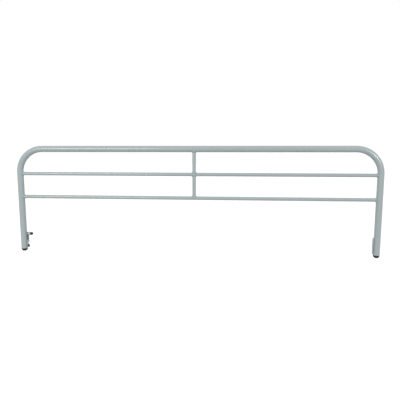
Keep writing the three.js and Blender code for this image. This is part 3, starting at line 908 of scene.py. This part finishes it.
class GUARDRAIL_OT_brackets(bpy.types.Operator):
    """Presses the two brackets from sheet: ear beside the leg, cheek behind it, web on the bed"""

    bl_idname = "guard_rail.brackets"
    bl_label = "Brackets"

    ear_front = 0.0045
    ear_back = 0.005
    web_inner = 0.006
    overlap = 0.002
    screw_hole = 0.00275
    screw_sink = 0.00425
    bush_hole = 0.00425
    rivet_hole = 0.0023
    pin_hole = 0.0033

    def strip(self, name, leg):
        """The sheet as one bent upright strip, as high as the web."""
        sizes = settings().bracket
        half_sheet = sizes.sheet / 2
        ear = BRACKET_HIGH.x - half_sheet - LEG_X[0]
        web = BRACKET_HIGH.y - half_sheet - AXIS_Y
        bend = self.web_inner + sizes.bend_reach
        edge = BRACKET_LOW.x - LEG_X[0]
        corners = [(ear, -self.ear_front), (ear, self.ear_back), (bend, web), (edge, web)]
        line = bent_line([Vector(corner) for corner in corners], sizes.bend_reach)
        sides = ([], [])
        for i, point in enumerate(line):
            along = (line[min(i + 1, len(line) - 1)] - line[max(i - 1, 0)]).normalized()
            aside = Vector((-along.y, along.x)) * half_sheet
            sides[0].append(point + aside)
            sides[1].append(point - aside)
        bottom = -sizes.web_height / 2
        outline = [(inward(leg, a), AXIS_Y + y, bottom) for a, y in sides[0] + sides[1][::-1]]
        return prism(name, outline, (0.0, 0.0, sizes.web_height))

    def eye(self, leg, eye_z):
        """The flat end of the ear above or below the web, rounded about the lock pin or the pivot."""
        sizes = settings().bracket
        side = math.copysign(1.0, eye_z)
        web_end = side * (sizes.web_height / 2 - self.overlap)
        round_end = arc((0.0, eye_z), AXIS_Y - BRACKET_LOW.y, 180, 180 - side * 180, 2 * DOME_STEPS)
        outline = [(-self.ear_front, web_end), *round_end, (self.ear_back, web_end)]
        outer = BRACKET_HIGH.x - LEG_X[0]
        start, end = inward(leg, outer - sizes.sheet), inward(leg, outer)
        points = [(start, AXIS_Y + depth, z) for depth, z in outline]
        return prism("eye", points, (end - start, 0.0, 0.0))

    def web_frame(self, leg):
        """What the bracket is kept inside: it rounds the free corners of the web."""
        sizes = settings().bracket
        corner = sizes.corner
        edge, far = BRACKET_LOW.x - LEG_X[0], 2 * BRACKET_HIGH.x - LEG_X[0]
        half, top = sizes.web_height / 2, sizes.web_height
        free = arc((edge + corner, -half + corner), corner, 270, 180, DOME_STEPS)
        free += arc((edge + corner, half - corner), corner, 180, 90, DOME_STEPS)
        ear = self.web_inner
        outline = [(ear, -half), *free, (ear, half), (ear, top), (far, top), (far, -top), (ear, -top)]
        points = [(inward(leg, a), 2 * BRACKET_LOW.y, z) for a, z in outline]
        return prism("web_frame", points, (0.0, -3 * BRACKET_LOW.y, 0.0))

    def screw_holes(self, piece, leg):
        sheet = settings().bracket.sheet
        profile = [
            (0.0, -2 * sheet), (self.screw_sink, -2 * sheet), (self.screw_sink, -sheet),
            (self.screw_hole, self.screw_sink - self.screw_hole - sheet),
            (self.screw_hole, sheet), (0.0, sheet),
        ]
        for side in (-1, 1):
            centre = (LEG_X[leg], 0.0, side * settings().bracket.screw_spacing / 2)
            combined(piece, turned("screw_hole", profile, centre, axis="Y"), "DIFFERENCE")

    def execute(self, context):
        for leg, node in enumerate(("left_bracket", "right_bracket")):
            piece = self.strip(node + "_dressed", leg)
            combined(piece, self.web_frame(leg), "INTERSECT")
            for eye_z in (PIVOT_Z, LOCK_Z):
                combined(piece, self.eye(leg, eye_z), "UNION")
            drill(piece, self.bush_hole, *across_leg(leg), PIVOT_Z)
            self.screw_holes(piece, leg)
            if leg == 0:
                drill(piece, self.pin_hole, *across_leg(leg), LOCK_Z)
                for rivet in RIVETS:
                    drill(piece, self.rivet_hole, *across_leg(leg), middle(rivet).z)
            rounded_edges(piece, settings().rail.cut_edge)
            finished(piece, "brackets", grey_paint, node)
        return {"FINISHED"}


class GUARDRAIL_OT_buffers(bpy.types.Operator):
    """Moulds the rubber buffer on each bracket"""

    bl_idname = "guard_rail.buffers"
    bl_label = "Buffers"

    rim = 0.0012
    dimple = 0.0022

    def execute(self, context):
        low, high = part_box("left_buffer")
        radius = (high.z - low.z) / 2
        floor = low.y + self.rim
        profile = [
            (0.0, floor), (self.dimple, floor), (self.dimple, low.y), (radius - self.rim, low.y),
            (radius, floor), (radius, high.y), (0.0, high.y),
        ]
        shape = turned("buffer", profile, axis="Y", edge=self.rim / 2)
        buffers = pair_of("buffers", shape, black_rubber, (LEG_X[0], 0.0, 0.0), LEG_STEP)
        finished(buffers, "brackets", black_rubber, "left_buffer", "right_buffer")
        return {"FINISHED"}


class GUARDRAIL_OT_pivots(bpy.types.Operator):
    """Makes the pivots: bushes, stud, washer, nut and cap on the left, headed pin on the right"""

    bl_idname = "guard_rail.pivots"
    bl_label = "Pivots"

    edge = 0.0003
    bush_flange = 0.0005
    bush_barrel = 0.00395
    bush_bore = 0.00275
    nut_bore = 0.0029
    head_height = 0.0008
    cap_wall = 0.0007
    nut_chamfer = 0.0009

    def bushes(self):
        start, end, flange = span("left_pivot_bush")
        step = start + self.bush_flange
        bore, barrel = self.bush_bore, self.bush_barrel
        profile = closed_profile(
            (bore, start), (flange, start), (flange, step), (barrel, step), (barrel, end), (bore, end))
        shape = turned("bush", profile, (-LEG_X[0], 0.0, PIVOT_Z), edge=self.edge)
        place = (LEG_X[0], AXIS_Y, 0.0)
        piece = pair_of("pivot_bushes", shape, white_nylon, place, LEG_STEP, turn=math.pi)
        finished(piece, "brackets", white_nylon, "left_pivot_bush", "right_pivot_bush")

    def stud_and_pin(self):
        start, end, radius = span("left_pivot_stud")
        stud = turned("pivot_stud", rod_profile(start, end, radius), PIVOT, edge=self.edge)
        finished(stud, "rail", zinc_steel, "left_pivot_stud")
        start, end, head = span("right_pivot_pin")
        under = start + self.head_height
        half_head = self.head_height / 2
        crown = dome(head, start + half_head, -half_head)
        profile = [(0.0, end), (radius, end), (radius, under), (head, under), *crown, (0.0, start)]
        finished(turned("pivot_pin", profile, PIVOT), "rail", grey_paint, "right_pivot_pin")

    def washer(self):
        profile = ring_profile(self.nut_bore, *span("left_pivot_washer"))
        piece = turned("pivot_washer", profile, PIVOT, edge=self.edge / 2)
        finished(piece, "rail", zinc_steel, "left_pivot_washer")

    def nut(self):
        low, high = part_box("left_pivot_nut")
        corner = (high.y - low.y) / 2
        hexagon = [(low.x, AXIS_Y + y, PIVOT_Z + z) for y, z in arc((0.0, 0.0), corner, 0, 360, 6)[1:]]
        piece = prism("pivot_nut", hexagon, (high.x - low.x, 0.0, 0.0))
        slim = corner - self.nut_chamfer
        chamfer = self.nut_chamfer / 2
        profile = [
            (0.0, low.x), (slim, low.x), (corner, low.x + chamfer), (corner, high.x - chamfer),
            (slim, high.x), (0.0, high.x),
        ]
        combined(piece, turned("cone", profile, PIVOT), "INTERSECT")
        drill(piece, self.nut_bore, low.x - corner, high.x + corner, PIVOT_Z)
        finished(piece, "rail", zinc_steel, "left_pivot_nut")

    def cap(self):
        start, end, radius = span("left_nut_cap")
        inner = radius - self.cap_wall
        floor = span("left_pivot_nut")[1] + SEAT_GAP
        crown = dome(radius, floor, end - floor)
        profile = [(0.0, floor), (inner, floor), (inner, start), (radius, start), *crown, (0.0, end)]
        piece = turned("nut_cap", profile, PIVOT)
        rounded_edges(piece, self.edge / 2)
        finished(piece, "rail", black_plastic, "left_nut_cap")

    def execute(self, context):
        self.bushes()
        self.stud_and_pin()
        self.washer()
        self.nut()
        self.cap()
        for node in ("left_pivot_sleeve", "right_pivot_sleeve"):
            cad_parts[node].data.materials.clear()
            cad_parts[node].data.materials.append(zinc_steel())
        return {"FINISHED"}


class GUARDRAIL_OT_lock(bpy.types.Operator):
    """Makes the lock on the left bracket: plate, rivets, barrel, pin, collar, spring and knob"""

    bl_idname = "guard_rail.lock"
    bl_label = "Lock"

    edge = 0.0004
    plate_width = 0.0074
    rivet_shank = 0.002
    rivet_tail = 0.0005
    rivet_head = 0.0013
    barrel_bore = 0.0052
    barrel_end = 0.0018
    neck = 0.0038
    rim = 0.002
    nose = 0.001
    wire = 0.00035
    turns = 3.0
    pull = 0.0008

    def plate(self):
        low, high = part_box("lock_plate")
        eye = (high.y - low.y) / 2
        half = self.plate_width / 2
        spread = math.degrees(math.acos(half / eye))
        outline = arc((0.0, LOCK_Z), eye, -spread, 180 + spread, 3 * DOME_STEPS)
        outline += arc((0.0, low.z + half), half, 180, 360, DOME_STEPS)
        points = [(low.x, AXIS_Y + y, z) for y, z in outline]
        piece = prism("lock_plate_dressed", points, (high.x - low.x, 0.0, 0.0))
        reach = (low.x - eye, high.x + eye)
        drill(piece, span("lock_pin")[2] + SEAT_GAP, *reach, LOCK_Z)
        for rivet in RIVETS:
            drill(piece, self.rivet_shank + SEAT_GAP, *reach, middle(rivet).z)
        rounded_edges(piece, self.edge)
        finished(piece, "brackets", black_steel, "lock_plate")

    def rivets(self):
        start, end, head = span(RIVETS[0])
        seat = end - self.rivet_head
        tail = start + self.rivet_tail
        profile = [(0.0, start), (head, start), (head, tail), (self.rivet_shank, tail)]
        profile += [(self.rivet_shank, seat), *dome(head, seat, self.rivet_head), (0.0, end)]
        first, second = [middle(rivet).z for rivet in RIVETS]
        step = Vector((0.0, 0.0, second - first))
        piece = pair_of("lock_rivets", turned("rivet", profile), black_steel, (0.0, AXIS_Y, first), step)
        finished(piece, "brackets", black_steel, *RIVETS)

    def barrel(self):
        start, end, outer = span("lock_barrel")
        floor = end - self.barrel_end
        bore, mouth = self.barrel_bore, self.neck + SEAT_GAP
        profile = closed_profile(
            (bore, start), (outer, start), (outer, end), (mouth, end), (mouth, floor), (bore, floor))
        piece = turned("lock_barrel_dressed", profile, LOCK, sides=ROUND_SIDES, edge=2 * self.edge)
        finished(piece, "brackets", grey_paint, "lock_barrel")

    def pin_and_collar(self):
        start, end, radius = span("lock_pin")
        profile = [(0.0, start), (radius - self.nose, start), (radius, start + self.nose)]
        profile += [(radius, end), (0.0, end)]
        pin = turned("lock_pin_dressed", profile, LOCK, edge=self.edge / 2)
        finished(pin, "lock", zinc_steel, "lock_pin")
        profile = ring_profile(radius + SEAT_GAP, *span("lock_collar"))
        collar = turned("lock_collar_dressed", profile, LOCK, edge=self.edge / 2)
        finished(collar, "lock", zinc_steel, "lock_collar")

    def spring(self):
        """The coil leaves the collar room to be pulled back."""
        start, end, outer = span("lock_spring")
        first = start + self.pull + self.wire
        values = {
            "Coil Radius": outer - self.wire, "Length": end - self.wire - first, "Turns": self.turns,
            "Wire Radius": self.wire, "Place": Vector((first, AXIS_Y, LOCK_Z)),
            "Turn": Vector((0.0, math.pi / 2, 0.0)),
        }
        piece = grown("lock_spring_dressed", spring_tree(), zinc_steel, **values)
        finished(piece, "brackets", zinc_steel, "lock_spring")

    def knob(self):
        start, end, head = span("lock_knob")
        barrel_start, barrel_end, _ = span("lock_barrel")
        pin_end, pin_radius = span("lock_pin")[1:]
        bore = pin_radius + SEAT_GAP
        under = barrel_end + (span("lock_collar")[0] - barrel_start)
        rim = under + self.rim
        inside = pin_end + SEAT_GAP
        profile = [
            (0.0, inside), (bore, inside), (bore, start), (self.neck, start), (self.neck, under),
            (head, under), *dome(head, rim, end - rim), (0.0, end),
        ]
        piece = turned("lock_knob_dressed", profile, LOCK, sides=ROUND_SIDES)
        rounded_edges(piece, self.edge)
        finished(piece, "lock", black_plastic, "lock_knob")

    def execute(self, context):
        self.plate()
        self.rivets()
        self.barrel()
        self.pin_and_collar()
        self.spring()
        self.knob()
        return {"FINISHED"}


class GUARDRAIL_OT_stage(bpy.types.Operator):
    """Sets up the camera, the lamps, the world and the floor"""

    bl_idname = "guard_rail.stage"
    bl_label = "Stage"

    floor_size = 40.0
    floor_grey = 0.3
    key_size = (1.4, 0.3)
    key_place = (-0.6, -2.5, 0.85)
    side_size = (0.5, 0.5)
    side_place = (3.1, -2.5, 1.0)

    def camera(self, stage):
        camera = bpy.data.cameras.new("camera")
        camera.lens = stage.lens
        camera.clip_end = self.floor_size * 2
        holder = add_object("camera", camera)
        holder.location = stage.camera_place
        holder.rotation_euler = (math.pi / 2 - stage.camera_tilt, 0.0, stage.camera_turn)
        bpy.context.scene.camera = holder

    def soft_box(self, name, power, size, place, aim):
        lamp = bpy.data.lights.new(name, "AREA")
        lamp.energy = power
        lamp.shape = "RECTANGLE"
        lamp.size, lamp.size_y = size
        holder = add_object(name, lamp)
        holder.location = place
        holder.rotation_euler = (Vector(place) - Vector(aim)).to_track_quat("Z", "Y").to_euler()

    def seen_directly(self, graph):
        """1 where the camera sees the surface, itself or in a glossy reflection."""
        direct = graph.node("ShaderNodeLightPath", out="Is Camera Ray")
        glossy = graph.node("ShaderNodeLightPath", out="Is Glossy Ray")
        clear = graph.node("ShaderNodeLightPath", out="Is Transmission Ray")
        return direct.at_least(glossy).at_least(clear)

    def world(self, stage):
        world = bpy.data.worlds.new("studio")
        world.use_nodes = True
        bpy.context.scene.world = world
        graph = Graph(world.node_tree)
        background = world.node_tree.nodes["Background"]
        seen = self.seen_directly(graph)
        graph.feed(background.inputs["Color"], grey(1.0))
        graph.feed(background.inputs["Strength"], seen * (1.0 - stage.ambient) + stage.ambient)

    def floor(self, stage):
        half = self.floor_size / 2
        z = PIVOT_Z - stage.floor_drop
        corners = [(-half, -half, z), (half, -half, z), (half, half, z), (-half, half, z)]
        mesh = bpy.data.meshes.new("floor")
        mesh.from_pydata(corners, [], [(0, 1, 2, 3)])
        material = bpy.data.materials.new("floor")
        material.use_nodes = True
        graph = Graph(material.node_tree)
        nodes = material.node_tree.nodes
        shader = nodes["Principled BSDF"]
        shader.inputs["Base Color"].default_value = grey(self.floor_grey)
        shader.inputs["Roughness"].default_value = 1.0
        strength = self.seen_directly(graph) * stage.floor_glow
        glow = graph.node("ShaderNodeEmission", values={"Strength": strength})
        both = graph.node("ShaderNodeAddShader", values={0: Link(graph, shader.outputs[0]), 1: glow})
        graph.feed(nodes["Material Output"].inputs["Surface"], both)
        mesh.materials.append(material)
        add_object("floor", mesh)

    def execute(self, context):
        stage = settings().stage
        bpy.context.scene.view_settings.view_transform = "Standard"
        self.camera(stage)
        aim = (MIDDLE_X, AXIS_Y, TOP_Z)
        self.soft_box("key", stage.key_power, self.key_size, self.key_place, aim)
        self.soft_box("side", stage.side_power, self.side_size, self.side_place, aim)
        self.world(stage)
        self.floor(stage)
        return {"FINISHED"}


class GUARDRAIL_PT_panel(bpy.types.Panel):
    """Lists the sizes, the colours and the pieces"""

    bl_idname = "GUARDRAIL_PT_panel"
    bl_label = "Guard Rail"
    bl_space_type = "VIEW_3D"
    bl_region_type = "UI"
    bl_category = "Guard Rail"

    def draw(self, context):
        for group in (settings().rail, settings().bracket, settings().colours, settings().stage):
            box = self.layout.box()
            for name in group.__annotations__:
                box.prop(group, name)
        for operator in OPERATORS:
            self.layout.operator(operator.bl_idname)


OPERATORS = (
    GUARDRAIL_OT_stage,
    GUARDRAIL_OT_rail_tube,
    GUARDRAIL_OT_bars,
    GUARDRAIL_OT_weld_beads,
    GUARDRAIL_OT_end_plugs,
    GUARDRAIL_OT_brackets,
    GUARDRAIL_OT_buffers,
    GUARDRAIL_OT_pivots,
    GUARDRAIL_OT_lock,
)
GROUPS = (RailSizes, BracketSizes, FinishColours, StageSettings, GuardRailSettings)


def register():
    for cls in (*GROUPS, *OPERATORS, GUARDRAIL_PT_panel):
        bpy.utils.register_class(cls)
    bpy.types.Scene.guard_rail = PointerProperty(
        name="Guard rail", description="Sizes and colours of the guard rail", type=GuardRailSettings)


def unregister():
    del bpy.types.Scene.guard_rail
    for cls in reversed((*GROUPS, *OPERATORS, GUARDRAIL_PT_panel)):
        bpy.utils.unregister_class(cls)


def main():
    register()
    for operator in OPERATORS:
        group, name = operator.bl_idname.split(".")
        getattr(getattr(bpy.ops, group), name)()


if __name__ == "__main__":
    main()
